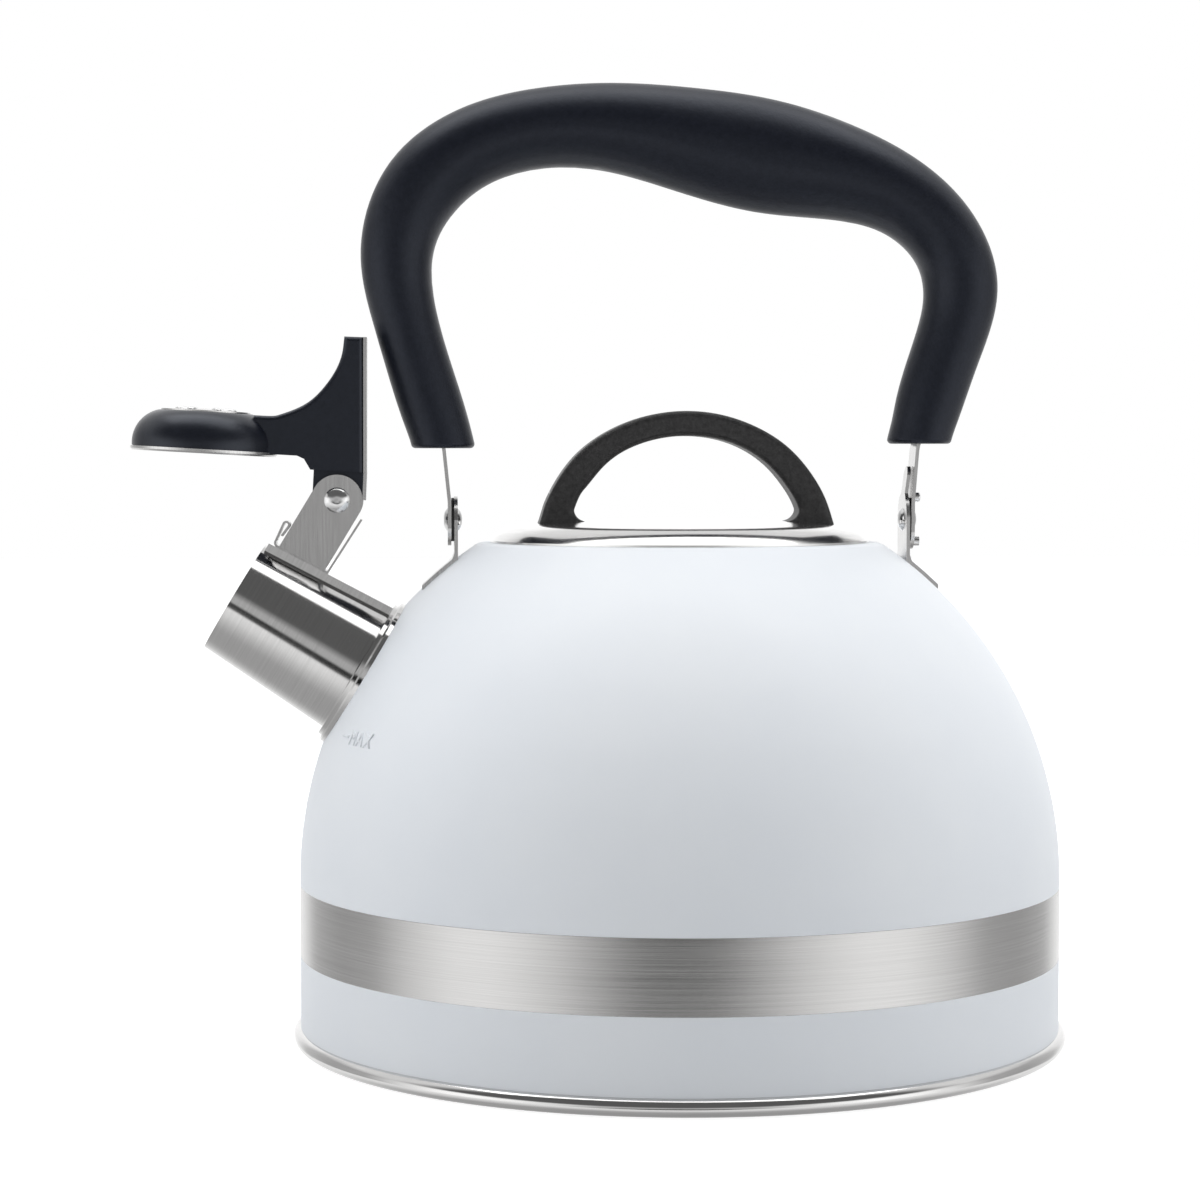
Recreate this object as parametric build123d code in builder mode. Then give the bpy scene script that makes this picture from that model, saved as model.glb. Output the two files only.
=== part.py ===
from build123d import *
from math import asin, atan2, cos, degrees, hypot, radians, sin, sqrt
import os

# A stovetop whistling kettle in millimetres. The origin is the centre of the base, +Z is up
# and the spout points to -X. The bail handle stands in the XZ plane.

# ---------------------------------------------------------------- driving dimensions
sheet = 0.6  # the drawn stainless sheet of vessel, lid and base
gap = 0.05  # running gap between flat faces that slide on each other

# vessel
body_radius = 108.5
wall_top = 47.5  # where the straight wall turns into the dome
dome_radius = 114.0
seat_height = 142.6  # the dome ends in a flat ring that the lid lies on
seat_radius = 57.35
neck_radius = 49.0
neck_bottom = 136.5

# base
bead_radius = 2.5  # the rolled bead round the foot
bead_centre_radius = 108.0
bead_centre_height = 2.75
floor_bottom = 5.0
floor_skirt_radius = 106.2  # the floor turns down here to meet the bead
capsule_radius = 91.0
capsule_edge_top = 4.4

# spout, on an axis square to the dome
spout_tilt = 31.2  # degrees above level
spout_reach = 154.4  # from the centre of the dome's arc to the spout's mouth
mouth_radius = 16.9
tube_wall = 0.7
tube_root_radius = 19.2
tube_root_depth = 39.8  # from the mouth back to the flange
tail_depth = 45.0
tail_radius = 19.5
collar_radius = 22.8
flange_radius = 21.4
rib_half_width = 6.3
rib_height = 1.1

# whistle flap
pivot_out = 38.4  # the hinge pin, square to the spout axis from the mouth's centre
pivot_back = 10.8  # and back from the mouth's plane
open_angle = 62.0  # how far the flap stands open in the rest pose
arm_half_width = 6.0
lever_half_width = 8.5
ear_gap = 0.2
ear_thickness = 1.0
ear_radius = 7.2
knuckle_radius = 7.0
pin_radius = 2.5
pin_clearance = 0.08
head_radius = 20.3
seat_disc_radius = 20.7

# bail handle
pivot_height = 149.1
ear_left_x = 63.4  # inner faces of the two ears, the right one set a little further out
ear_right_x = 64.4
bracket_thickness = 1.0
washer_thickness = 0.8
strap_thickness = 1.0
strap_half_width = 5.5
rivet_radius = 2.0
rivet_head_radius = 3.4
stud_radius = 1.4

# lid
lid_radius = 54.2
lid_top = 149.2
crown_radius = 650.0
crown_edge = 45.0
skirt_radius = 48.2
arch_x = 1.7  # the arch sits a little to the right of the lid's centre
screw_x = 37.0  # from the arch's own middle
screw_radius = 2.0

os.makedirs("parts", exist_ok=True)


# ---------------------------------------------------------------- frames
dome_centre = (body_radius - dome_radius, wall_top)
spout_root = Vector(-dome_centre[0], 0, wall_top)
spout_axis = Vector(-cos(radians(spout_tilt)), 0, sin(radians(spout_tilt)))
spout_up = Vector(sin(radians(spout_tilt)), 0, cos(radians(spout_tilt)))
mouth_centre = spout_root + spout_axis * spout_reach

# side_plane: x runs up from the spout axis, y runs out of the mouth.
# cross_plane: the mouth's plane, with its normal out of the mouth.
side_plane = Plane(origin=mouth_centre, x_dir=spout_up, z_dir=(0, -1, 0))
cross_plane = Plane(origin=mouth_centre, x_dir=spout_up, z_dir=spout_axis)
side_axis = Axis(mouth_centre, spout_axis)

flap_pivot = mouth_centre + spout_up * pivot_out - spout_axis * pivot_back
flap_tilt = 90 - spout_tilt - open_angle
flap_along = Vector(cos(radians(flap_tilt)), 0, sin(radians(flap_tilt)))
flap_normal = Vector(-sin(radians(flap_tilt)), 0, cos(radians(flap_tilt)))
flap_centre = flap_pivot - flap_along * pivot_out + flap_normal * pivot_back

# the same two planes, carried round the hinge pin with the open flap
flap_side = Plane(origin=flap_centre, x_dir=flap_along, z_dir=(0, -1, 0))
flap_axis = Axis(flap_centre, flap_normal)


def dome_height(radius):
    """The height of the dome's outside at a distance from the kettle's axis."""
    return wall_top + sqrt(dome_radius**2 - (radius - dome_centre[0]) ** 2)


def lid_height(radius):
    """The height of the lid's crown at a distance from its axis."""
    return lid_top - crown_radius + sqrt(crown_radius**2 - radius**2)


# ---------------------------------------------------------------- vessel
def dome_arc(radius_step, end_radius):
    """An arc parallel to the dome, from the wall's top in to a distance from the axis."""
    radius = dome_radius - radius_step
    end_angle = degrees(asin(sqrt(radius**2 - (end_radius - dome_centre[0]) ** 2) / radius))
    return CenterArc(dome_centre, radius, 0, end_angle)


# the outside of the whole vessel as one solid, for trimming what sits on it
with BuildPart() as dome_solid:
    with BuildSketch(Plane.XZ):
        with BuildLine():
            arc = dome_arc(0, seat_radius)
            Polyline((0, (arc @ 1).Y), (0, 10), (body_radius, 10), arc @ 0)
            Line(arc @ 1, (0, (arc @ 1).Y))
        make_face()
    revolve(axis=Axis.Z)

# the plain cone of the spout, to cut holes with
with BuildPart() as spout_cone:
    with BuildSketch(side_plane):
        with BuildLine():
            Polyline(
                (0, 0),
                (mouth_radius, 0),
                (tube_root_radius, -tube_root_depth),
                (tail_radius, -tube_root_depth),
                (tail_radius, -tail_depth),
                (0, -tail_depth),
                close=True,
            )
        make_face()
    revolve(axis=side_axis)

with BuildPart() as body_shell:
    with BuildSketch(Plane.XZ):
        with BuildLine():
            Line((body_radius, bead_centre_height), (body_radius, wall_top))
            arc = dome_arc(0, seat_radius)
            rim = Polyline(arc @ 1, (neck_radius, seat_height), (neck_radius, neck_bottom))
            offset(amount=sheet, side=Side.LEFT)
        make_face()
    revolve(axis=Axis.Z)
    with Locations((0, 0, bead_centre_height)):
        Torus(bead_centre_radius, bead_radius, mode=Mode.SUBTRACT)
    add(spout_cone.part, mode=Mode.SUBTRACT)
    edge_top = body_shell.edges().filter_by(GeomType.CIRCLE).filter_by(
        lambda e: abs(e.radius - seat_radius) < 0.1 and e.center().Z > seat_height - 0.1
    )
    fillet(edge_top, 4.0)
    mouth_edge = body_shell.edges().filter_by(GeomType.CIRCLE).filter_by(
        lambda e: abs(e.radius - neck_radius) < 0.01 and e.center().Z > seat_height - 0.1
    )
    fillet(mouth_edge, 0.5)
body_shell.part.label = "body_shell"
export_step(body_shell.part, "parts/body_shell.step")

# the foot: the wall stands on a rolled bead, which carries the floor on its inner side
with BuildPart() as bottom_pan:
    with BuildSketch(Plane.XZ):
        with BuildLine():
            Polyline(
                (0, floor_bottom),
                (floor_skirt_radius - sheet, floor_bottom),
                (floor_skirt_radius - sheet, bead_centre_height + 0.2),
                (floor_skirt_radius, bead_centre_height + 0.2),
                (floor_skirt_radius, bead_centre_height + bead_radius + 0.1),
                (body_radius - sheet, bead_centre_height + bead_radius + 0.1),
                (body_radius - sheet, bead_centre_height + bead_radius + 0.1 + sheet),
                (floor_skirt_radius - sheet, bead_centre_height + bead_radius + 0.1 + sheet),
                (floor_skirt_radius - 2 * sheet, floor_bottom + sheet),
                (0, floor_bottom + sheet),
                close=True,
            )
        make_face()
        with Locations((bead_centre_radius, bead_centre_height)):
            Circle(bead_radius)
    revolve(axis=Axis.Z)
bottom_pan.part.label = "bottom_pan"
export_step(bottom_pan.part, "parts/bottom_pan.step")

with BuildPart() as base_cap:
    Cylinder(capsule_radius, capsule_edge_top, align=(Align.CENTER, Align.CENTER, Align.MIN))
    fillet(base_cap.faces().sort_by(Axis.Z)[0].edges(), 1.6)
    with Locations((0, 0, sheet)):
        Cylinder(
            capsule_radius - sheet,
            capsule_edge_top,
            align=(Align.CENTER, Align.CENTER, Align.MIN),
            mode=Mode.SUBTRACT,
        )
base_cap.part.label = "base_cap"
export_step(base_cap.part, "parts/base_cap.step")

with BuildPart() as heat_spreader:
    with Locations((0, 0, sheet)):
        Cylinder(
            capsule_radius - sheet,
            floor_bottom - sheet,
            align=(Align.CENTER, Align.CENTER, Align.MIN),
        )
heat_spreader.part.label = "heat_spreader_disc"
export_step(heat_spreader.part, "parts/heat_spreader_disc.step")

# ---------------------------------------------------------------- spout
rib_slope = (tube_root_radius - mouth_radius) / tube_root_depth
flange_top = tube_root_depth + 0.3
flange_bottom = flange_top + 1.1

with BuildPart() as spout_bore:
    with BuildSketch(side_plane):
        with BuildLine():
            Polyline(
                (0, 1),
                (mouth_radius - tube_wall - rib_slope, 1),
                (tube_root_radius - tube_wall, -tube_root_depth),
                (tail_radius - tube_wall, -tube_root_depth),
                (tail_radius - tube_wall, -tail_depth - 1),
                (0, -tail_depth - 1),
                close=True,
            )
        make_face()
    revolve(axis=side_axis)


def rib_top(depth):
    """The height of the rib's flat top above the spout axis."""
    return mouth_radius + rib_height + rib_slope * depth


with BuildPart() as spout_tube:
    with BuildSketch(side_plane):
        with BuildLine():
            Polyline(
                (0, 0),
                (mouth_radius, 0),
                (tube_root_radius, -tube_root_depth),
                (flange_radius, -flange_top),
                (flange_radius, -flange_bottom),
                (tail_radius, -flange_bottom),
                (tail_radius, -tail_depth),
                (0, -tail_depth),
                close=True,
            )
        make_face()
    revolve(axis=side_axis)
    with BuildSketch(side_plane):
        with BuildLine():
            Polyline(
                (0, -0.7),
                (rib_top(0.7), -0.7),
                (rib_top(flange_top), -flange_top),
                (0, -flange_top),
                close=True,
            )
        make_face()
    extrude(amount=rib_half_width, both=True)
    add(spout_bore.part, mode=Mode.SUBTRACT)
spout_tube.part.label = "spout_tube"
export_step(spout_tube.part, "parts/spout_tube.step")

with BuildPart() as spout_collar:
    with BuildSketch(side_plane):
        with BuildLine():
            Polyline(
                (tail_radius, -flange_bottom),
                (collar_radius - 0.5, -flange_bottom),
                (collar_radius, -flange_bottom - 0.5),
                (collar_radius, -tail_depth - 2),
                (tail_radius, -tail_depth - 2),
                close=True,
            )
        make_face()
    revolve(axis=side_axis)
    add(dome_solid.part, mode=Mode.SUBTRACT)
spout_collar.part.label = "spout_collar"
export_step(spout_collar.part, "parts/spout_collar.step")

# ---------------------------------------------------------------- whistle bracket
spring_sheet = 0.6
bracket_sheet = 0.8
ear_front = pivot_back - ear_radius
ear_back = pivot_back + ear_radius
ear_outer = arm_half_width + ear_gap + ear_thickness


def above_rib(height, depth):
    """A point of the side plane at a height over the rib's top."""
    return (rib_top(depth) + height, -depth)



# one strip of spring steel on the rib: a curled catch in front, a straight stop behind
with BuildPart() as spring_strip:
    with BuildSketch(side_plane):
        with BuildLine():
            tip = Line((21.6, -2.9), (24.9, -3.2))
            curl = ThreePointArc(tip @ 1, (26.1, -2.2), (24.8, -1.0))
            drop = Line(curl @ 1, above_rib(1.6, 1.6))
            toe = ThreePointArc(drop @ 1, above_rib(0.45, 2.0), above_rib(0, 3.2))
            sole = Line(toe @ 1, above_rib(0, ear_back + 1.3))
            stop = Line(sole @ 1, (37.2, -ear_back - 1.8))
            offset(amount=spring_sheet, side=Side.LEFT)
        make_face()
    extrude(amount=5.2, both=True)
spring_strip.part.label = "spring_strip"
export_step(spring_strip.part, "parts/spring_strip.step")

# a U of sheet: two round-topped ears on a floor over the strip
with BuildPart() as whistle_bracket:
    with BuildSketch(side_plane):
        with BuildLine():
            Polyline(
                (pivot_out, -ear_front),
                above_rib(spring_sheet, ear_front),
                above_rib(spring_sheet, ear_back),
                (pivot_out, -ear_back),
                close=True,
            )
        make_face()
        with Locations((pivot_out, -pivot_back)):
            Circle(ear_radius)
    extrude(amount=ear_outer, both=True)
    with BuildSketch(side_plane):
        with BuildLine():
            Polyline(
                (pivot_out + 10, -ear_front + 2),
                above_rib(spring_sheet + bracket_sheet, ear_front - 2),
                above_rib(spring_sheet + bracket_sheet, ear_back + 2),
                (pivot_out + 10, -ear_back - 2),
                close=True,
            )
        make_face()
    extrude(amount=ear_outer - ear_thickness, both=True, mode=Mode.SUBTRACT)
    with BuildSketch(side_plane):
        with Locations((pivot_out, -pivot_back)):
            Circle(pin_radius)
    extrude(amount=ear_outer + 1, both=True, mode=Mode.SUBTRACT)
whistle_bracket.part.label = "whistle_bracket"
export_step(whistle_bracket.part, "parts/whistle_bracket.step")

# two short rivets hold bracket and strip down on the rib
with BuildPart() as bracket_rivets:
    for depth in (ear_front + 2.9, ear_back - 2.9):
        height = rib_top(depth) + spring_sheet + bracket_sheet
        with BuildSketch(side_plane):
            with BuildLine():
                Polyline((height - 3.4, -depth), (height + 1.0, -depth))
                Polyline((height + 1.0, -depth), (height + 0.9, -depth - 1.0), (height, -depth - 2.0))
                Polyline((height, -depth - 2.0), (height, -depth - 1.2), (height - 3.4, -depth - 1.2))
                Line((height - 3.4, -depth - 1.2), (height - 3.4, -depth))
            make_face()
        start = mouth_centre - spout_axis * depth
        revolve(axis=Axis(start, spout_up))
bracket_rivets.part.label = "bracket_rivets"
export_step(bracket_rivets.part, "parts/bracket_rivets.step")

# strip and bracket lie on what is under them, and the rivets pass through all three
with spring_strip:
    add(spout_tube.part, mode=Mode.SUBTRACT)
with whistle_bracket:
    add(spring_strip.part, mode=Mode.SUBTRACT)
for pierced, name in ((spring_strip, "spring_strip"), (whistle_bracket, "whistle_bracket"), (spout_tube, "spout_tube")):
    with pierced:
        add(bracket_rivets.part, mode=Mode.SUBTRACT)
    pierced.part.label = name
    export_step(pierced.part, f"parts/{name}.step")

pin_head = 1.3
with BuildPart() as flap_pin:
    with BuildSketch(Plane(origin=flap_pivot, x_dir=(1, 0, 0), z_dir=(0, 0, 1))):
        with BuildLine():
            Polyline((0, -ear_outer - pin_head), (0, ear_outer + pin_head), (0.6, ear_outer + pin_head))
            ThreePointArc((0.6, ear_outer + pin_head), (2.6, ear_outer + 0.8), (3.6, ear_outer))
            Polyline((3.6, ear_outer), (pin_radius, ear_outer), (pin_radius, -ear_outer), (3.6, -ear_outer))
            ThreePointArc((3.6, -ear_outer), (2.6, -ear_outer - 0.8), (0.6, -ear_outer - pin_head))
            Line((0.6, -ear_outer - pin_head), (0, -ear_outer - pin_head))
        make_face()
    revolve(axis=Axis(flap_pivot, (0, 1, 0)))
flap_pin.part.label = "flap_pin"
export_step(flap_pin.part, "parts/flap_pin.step")

# ---------------------------------------------------------------- whistle flap
chamber_radius = 11.5
plate_sheet = 0.8
seat_clearance = 0.3
head_bottom = seat_clearance + plate_sheet
head_top = 12.0
crown_plate_radius = 12.6
crown_seat = 11.1
wide_bottom = -2.6
back_top = (43.4, 35.4)
back_low = (45.4, wide_bottom)

with BuildPart() as flap_body:
    with BuildSketch(flap_side):
        with BuildLine():
            Spline(
                (38.1, 35.3),
                (37.8, 31.2),
                (36.5, 26.5),
                (33.3, 21.0),
                (27.3, 15.2),
                (21.2, 12.4),
                (14.0, 11.8),
                tangents=[(-0.1, -1), (-1, 0)],
            )
            Polyline((14.0, 11.8), (14.0, head_bottom), (26.6, head_bottom), (28.6, 0.3), (30.5, wide_bottom))
            Polyline((30.5, wide_bottom), back_low, back_top, (38.1, 35.3))
        make_face()
    extrude(amount=lever_half_width, both=True)
    long_edges = flap_body.edges().filter_by(
        lambda e: abs(abs(e.center().Y) - lever_half_width) < 0.01 and flap_side.to_local_coords(e.center()).Y > 13
    )
    fillet(long_edges, 1.3)
    with BuildSketch(flap_side):
        with Locations((pivot_out, -pivot_back)):
            Circle(knuckle_radius)
        with BuildLine():
            Polyline(
                (pivot_out - knuckle_radius, -pivot_back),
                (pivot_out + knuckle_radius, -pivot_back),
                (pivot_out + knuckle_radius, wide_bottom + 1),
                (pivot_out - knuckle_radius, wide_bottom + 1),
                close=True,
            )
        make_face()
    extrude(amount=arm_half_width, both=True)
    with BuildSketch(flap_side):
        with BuildLine():
            rim = seat_disc_radius - 0.7
            Polyline((0, head_bottom), (rim, head_bottom), (rim, 1.6), (head_radius, 1.6))
            ThreePointArc((head_radius, 1.6), (head_radius - 1.8, 8.4), (13.2, head_top))
            Polyline((13.2, head_top), (0, head_top), (0, head_bottom))
        make_face()
    revolve(axis=flap_axis)
    with BuildSketch(flap_side):
        with BuildLine():
            Polyline(
                (0, head_bottom - 1),
                (chamber_radius, head_bottom - 1),
                (chamber_radius, crown_seat),
                (crown_plate_radius, crown_seat),
                (crown_plate_radius, head_top + 1),
                (0, head_top + 1),
                close=True,
            )
        make_face()
    revolve(axis=flap_axis, mode=Mode.SUBTRACT)
    with BuildSketch(flap_side):
        with Locations((pivot_out, -pivot_back)):
            Circle(pin_radius + pin_clearance)
    extrude(amount=20, both=True, mode=Mode.SUBTRACT)

with BuildPart() as whistle_base_plate:
    with BuildSketch(flap_side):
        with BuildLine():
            Polyline(
                (1.8, seat_clearance),
                (seat_disc_radius - 0.5, seat_clearance),
                (seat_disc_radius, seat_clearance + 0.5),
                (seat_disc_radius, 1.5),
                (seat_disc_radius - 0.7, 1.5),
                (seat_disc_radius - 0.7, head_bottom),
                (1.8, head_bottom),
                close=True,
            )
        make_face()
    revolve(axis=flap_axis)
whistle_base_plate.part.label = "whistle_base_plate"
export_step(whistle_base_plate.part, "parts/whistle_base_plate.step")

with BuildPart() as whistle_top_plate:
    with BuildSketch(flap_side):
        with BuildLine():
            top = crown_seat + 1.3
            Polyline((crown_plate_radius, crown_seat), (crown_plate_radius, top), (9.8, top))
            ThreePointArc((9.8, top), (6.0, top + 0.4), (1.8, top + 0.6))
            Line((1.8, top + 0.6), (1.8, top - 0.2))
            ThreePointArc((1.8, top - 0.2), (6.0, top - 0.4), (9.8, top - 0.8))
            Polyline((9.8, top - 0.8), (10.6, top - 0.8), (10.6, crown_seat), (crown_plate_radius, crown_seat))
        make_face()
    revolve(axis=flap_axis)
whistle_top_plate.part.label = "whistle_top_plate"
export_step(whistle_top_plate.part, "parts/whistle_top_plate.step")

with BuildPart() as lever_plate:
    with BuildSketch(flap_side):
        with BuildLine():
            Polyline(back_top, (44.4, 35.45), (46.4, wide_bottom), back_low, close=True)
        make_face()
    extrude(amount=8.0, both=True)
    with BuildSketch(flap_side):
        with BuildLine():
            Polyline((45.4, wide_bottom), (46.4, wide_bottom), (46.5, -10.4), (45.5, -10.4), close=True)
        make_face()
    extrude(amount=arm_half_width - 0.4, both=True)

# two flush rivets hold the plate to the lever
back_line = Vector(back_top) - Vector(back_low)
back_line = back_line.normalized()
with BuildPart() as lever_rivets:
    for distance in (9.0, 29.0):
        spot = Vector(back_low) + back_line * distance
        centre = flap_centre + flap_along * spot.X + flap_normal * spot.Y
        line = flap_along * back_line.X + flap_normal * back_line.Y
        out = flap_along * back_line.Y - flap_normal * back_line.X
        with BuildSketch(Plane(origin=centre, x_dir=line, z_dir=out)):
            Circle(1.2)
        extrude(amount=-4.0)
        with BuildSketch(Plane(origin=centre, x_dir=line, z_dir=out)):
            Circle(1.2)
        extrude(amount=1.0)
lever_rivets.part.label = "lever_rivets"
export_step(lever_rivets.part, "parts/lever_rivets.step")

with flap_body:
    add(whistle_base_plate.part, mode=Mode.SUBTRACT)
with lever_plate:
    add(flap_body.part, mode=Mode.SUBTRACT)
for pierced, name in ((flap_body, "flap_body"), (lever_plate, "lever_plate")):
    with pierced:
        add(lever_rivets.part, mode=Mode.SUBTRACT)
    pierced.part.label = name
    export_step(pierced.part, f"parts/{name}.step")

# ---------------------------------------------------------------- handle ears
foot_end = 73.6
stack = bracket_thickness + washer_thickness + strap_thickness


def foot_point(radius, height):
    """A point over the dome, at a distance from the axis."""
    return (radius, dome_height(radius) + height)


# the left ear is round topped; the right one has a tall tongue that leans out to the strap
for side, ear_x, tongue_top, lean, name in (
    (-1, ear_left_x, 155.8, 0.0, "ear_left"),
    (1, ear_right_x, 164.3, 1.2, "ear_right"),
):
    outer_x = ear_x + bracket_thickness
    with BuildPart() as ear:
        with BuildSketch(Plane.XZ):
            with BuildLine():
                Polyline(
                    foot_point(foot_end, 0),
                    foot_point(foot_end, bracket_thickness),
                    foot_point(69.5, bracket_thickness),
                    foot_point(outer_x + 0.6, bracket_thickness),
                    foot_point(outer_x, bracket_thickness + 1.2),
                    (outer_x, pivot_height + 6.0),
                    (outer_x + lean, tongue_top),
                    (ear_x + lean, tongue_top),
                    (ear_x, pivot_height + 6.0),
                    foot_point(ear_x, -6),
                    (foot_end - 4, dome_height(foot_end) - 6),
                    close=True,
                )
            make_face()
        extrude(amount=8.0, both=True)
        add(dome_solid.part, mode=Mode.SUBTRACT)
        with BuildSketch(Plane.YZ.offset(ear_x - 1)):
            with BuildLine():
                Polyline((-9, pivot_height + 2), (-9, tongue_top + 1), (9, tongue_top + 1), (9, pivot_height + 2))
                Line((9, pivot_height + 2), (8, pivot_height))
                if side < 0:
                    ThreePointArc((8, pivot_height), (0, tongue_top), (-8, pivot_height))
                else:
                    ThreePointArc((8, pivot_height), (6.6, pivot_height + 4.6), (3.2, pivot_height + 7.4))
                    Line((3.2, pivot_height + 7.4), (3.2, tongue_top - 2.5))
                    ThreePointArc((3.2, tongue_top - 2.5), (0, tongue_top), (-3.2, tongue_top - 2.5))
                    Line((-3.2, tongue_top - 2.5), (-3.2, pivot_height + 7.4))
                    ThreePointArc((-3.2, pivot_height + 7.4), (-6.6, pivot_height + 4.6), (-8, pivot_height))
                Line((-8, pivot_height), (-9, pivot_height + 2))
            make_face()
        extrude(amount=5, mode=Mode.SUBTRACT)
        with BuildSketch(Plane.YZ.offset(ear_x - 1)):
            with Locations((0, pivot_height)):
                Circle(rivet_radius)
        extrude(amount=3, mode=Mode.SUBTRACT)
    with BuildPart() as placed:
        add(ear.part if side > 0 else ear.part.rotate(Axis.Z, 180))
    placed.part.label = name
    export_step(placed.part, f"parts/{name}.step")

# each pivot rivet has a domed inner head, a shank through ear, washer and strap, and an outer head
with BuildPart() as pivot_rivets:
    for side, ear_x in ((-1, ear_left_x), (1, ear_right_x)):
        inner = side * ear_x
        outer = side * (ear_x + stack + gap)
        with BuildSketch(Plane.XZ):
            with BuildLine():
                Polyline(
                    (outer + side * 1.1, pivot_height),
                    (inner - side * 1.4, pivot_height),
                    (inner - side * 1.4, pivot_height + 0.6),
                )
                ThreePointArc(
                    (inner - side * 1.4, pivot_height + 0.6),
                    (inner - side * 0.9, pivot_height + 2.4),
                    (inner, pivot_height + rivet_head_radius),
                )
                Polyline(
                    (inner, pivot_height + rivet_head_radius),
                    (inner, pivot_height + rivet_radius),
                    (outer, pivot_height + rivet_radius),
                    (outer, pivot_height + rivet_head_radius),
                )
                ThreePointArc(
                    (outer, pivot_height + rivet_head_radius),
                    (outer + side * 0.75, pivot_height + 2.4),
                    (outer + side * 1.1, pivot_height + 0.6),
                )
                Line((outer + side * 1.1, pivot_height + 0.6), (outer + side * 1.1, pivot_height))
            make_face()
        revolve(axis=Axis((0, 0, pivot_height), (1, 0, 0)))
pivot_rivets.part.label = "pivot_rivets"
export_step(pivot_rivets.part, "parts/pivot_rivets.step")

with BuildPart() as pivot_washers:
    for side, ear_x in ((-1, ear_left_x), (1, ear_right_x)):
        with BuildSketch(Plane.YZ.offset(side * (ear_x + bracket_thickness))):
            with Locations((0, pivot_height)):
                Circle(6.2)
                Circle(rivet_radius, mode=Mode.SUBTRACT)
        extrude(amount=side * (washer_thickness - gap))
pivot_washers.part.label = "pivot_washers"
export_step(pivot_washers.part, "parts/pivot_washers.step")

# ---------------------------------------------------------------- bail handle
# stations of the grip from its left end to its right: x, z, thickness seen from the front, width
grip_stations = (
    (-67.3, 169.4, 18.2, 19.0),
    (-69.9, 178.8, 18.0, 19.4),
    (-74.0, 191.6, 18.1, 20.4),
    (-78.2, 206.5, 18.3, 21.5),
    (-80.5, 223.5, 20.4, 23.0),
    (-73.2, 243.2, 23.0, 24.5),
    (-58.0, 255.0, 22.6, 25.5),
    (-40.0, 260.0, 22.6, 26.0),
    (-20.0, 260.5, 25.0, 27.0),
    (2.0, 257.1, 29.7, 28.0),
    (24.5, 252.6, 32.2, 28.5),
    (46.0, 248.1, 27.6, 28.0),
    (64.0, 240.9, 22.7, 26.5),
    (76.3, 229.2, 21.1, 25.0),
    (80.9, 215.0, 21.2, 23.5),
    (79.4, 205.0, 20.2, 22.2),
    (76.3, 195.5, 19.6, 21.0),
    (71.7, 181.2, 18.9, 19.8),
    (69.0, 170.7, 18.7, 19.0),
)
grip_line = Spline([(x, 0, z) for x, z, _, _ in grip_stations])

with BuildPart() as handle_grip:
    last = len(grip_stations) - 1
    for index, (x, z, thickness, width) in enumerate(grip_stations):
        along = grip_line.tangent_at(Vector(x, 0, z))
        if index in (0, last):
            along = Vector(0, 0, 1 if index == 0 else -1)
        with BuildSketch(Plane(origin=(x, 0, z), x_dir=(0, 1, 0), z_dir=along)):
            Ellipse(width / 2, thickness / 2)
    loft()
    ends = handle_grip.faces().filter_by(GeomType.PLANE).edges()
    fillet(ends, 1.2)


# one strap a side, from the pivot up into the grip
for side, ear_x, foot, lean, name in (
    (-1, ear_left_x, pivot_height - 7.4, (67.3, 169.4, 69.6, 178.0, 73.0, 190.0), "strap_left"),
    (1, ear_right_x, pivot_height - 8.6, (67.9, 169.4, 70.3, 178.0, 74.2, 190.0), "strap_right"),
):
    middle = side * (ear_x + stack - strap_thickness / 2)
    face_x = middle - side * strap_thickness / 2
    with BuildPart() as strap:
        with BuildSketch(Plane.XZ):
            with BuildLine():
                FilletPolyline(
                    (middle, foot),
                    (middle, pivot_height + 5.0),
                    (side * lean[0], lean[1]),
                    (side * lean[2], lean[3]),
                    (side * lean[4], lean[5]),
                    radius=12,
                )
                offset(amount=strap_thickness / 2, side=Side.BOTH)
            make_face()
        extrude(amount=strap_half_width, both=True)
        with BuildSketch(Plane.YZ.offset(face_x - 2)):
            with BuildLine():
                Polyline((7, foot - 1), (7, foot + 6), (strap_half_width, foot + 6))
                ThreePointArc((strap_half_width, foot + 6), (4.0, foot + 1.7), (0, foot))
                ThreePointArc((0, foot), (-4.0, foot + 1.7), (-strap_half_width, foot + 6))
                Polyline((-strap_half_width, foot + 6), (-7, foot + 6), (-7, foot - 1), (7, foot - 1))
            make_face()
        extrude(amount=4, mode=Mode.SUBTRACT)
        with BuildSketch(Plane.YZ.offset(face_x - 2)):
            with Locations((0, pivot_height)):
                Circle(rivet_radius + pin_clearance)
        extrude(amount=4, mode=Mode.SUBTRACT)
    with handle_grip:
        add(strap.part, mode=Mode.SUBTRACT)
    if side > 0:
        # two studs pressed into the right strap, one above the pivot and one below it
        with BuildPart() as stop_studs:
            for height, lean_out in ((6.3, 0.3), (-6.3, 0.0)):
                with BuildSketch(Plane.YZ.offset(middle)):
                    with Locations((0, pivot_height + height)):
                        Circle(stud_radius)
                extrude(amount=2.5 + lean_out)
            fillet(stop_studs.edges().filter_by(GeomType.CIRCLE).group_by(Axis.X)[-1], 0.5)
        with strap:
            add(stop_studs.part, mode=Mode.SUBTRACT)
    strap.part.label = name
    export_step(strap.part, f"parts/{name}.step")
stop_studs.part.label = "stop_studs"
export_step(stop_studs.part, "parts/stop_studs.step")
handle_grip.part.label = "handle_grip"
export_step(handle_grip.part, "parts/handle_grip.step")

# ---------------------------------------------------------------- lid
lid_edge = seat_height + gap
shoulder = (crown_edge, lid_height(crown_edge))

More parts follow.
